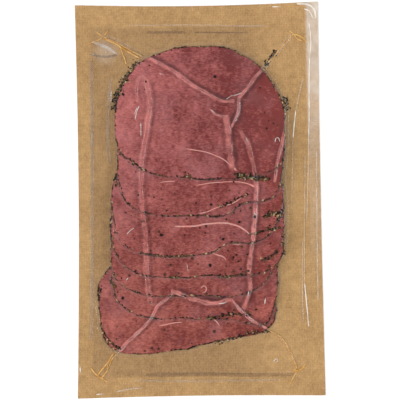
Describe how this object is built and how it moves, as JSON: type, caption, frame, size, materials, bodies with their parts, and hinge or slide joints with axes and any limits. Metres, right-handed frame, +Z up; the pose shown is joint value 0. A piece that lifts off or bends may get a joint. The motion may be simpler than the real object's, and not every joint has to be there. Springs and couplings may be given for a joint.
{
  "type": "sliced pastrami pack",
  "caption": "Flat sealed food pack: shingled thin slices of peppered cured beef on a kraft backing sheet, under a clear film drawn down with raised pleats.",
  "frame": {"origin": "underside of the backing sheet, at the middle of the pack", "axes": "+Y along the pack towards the end where the top slice lies, +X across it, +Z up out of the window side"},
  "size_m": [0.16, 0.257, 0.0108],
  "materials": {
    "kraft_sheet": "brown kraft-faced laminate board, satin under its film",
    "cured_beef": null,
    "clear_film": "clear glossy packaging film, raised in pleats"
  },
  "bodies": {
    "root": {"backing_sheet": "kraft_sheet", "slice_1": "cured_beef", "slice_2": "cured_beef", "slice_3": "cured_beef", "slice_4": "cured_beef", "slice_5": "cured_beef", "slice_6": "cured_beef", "slice_7": "cured_beef", "film": "clear_film"}
  },
  "joints": []
}
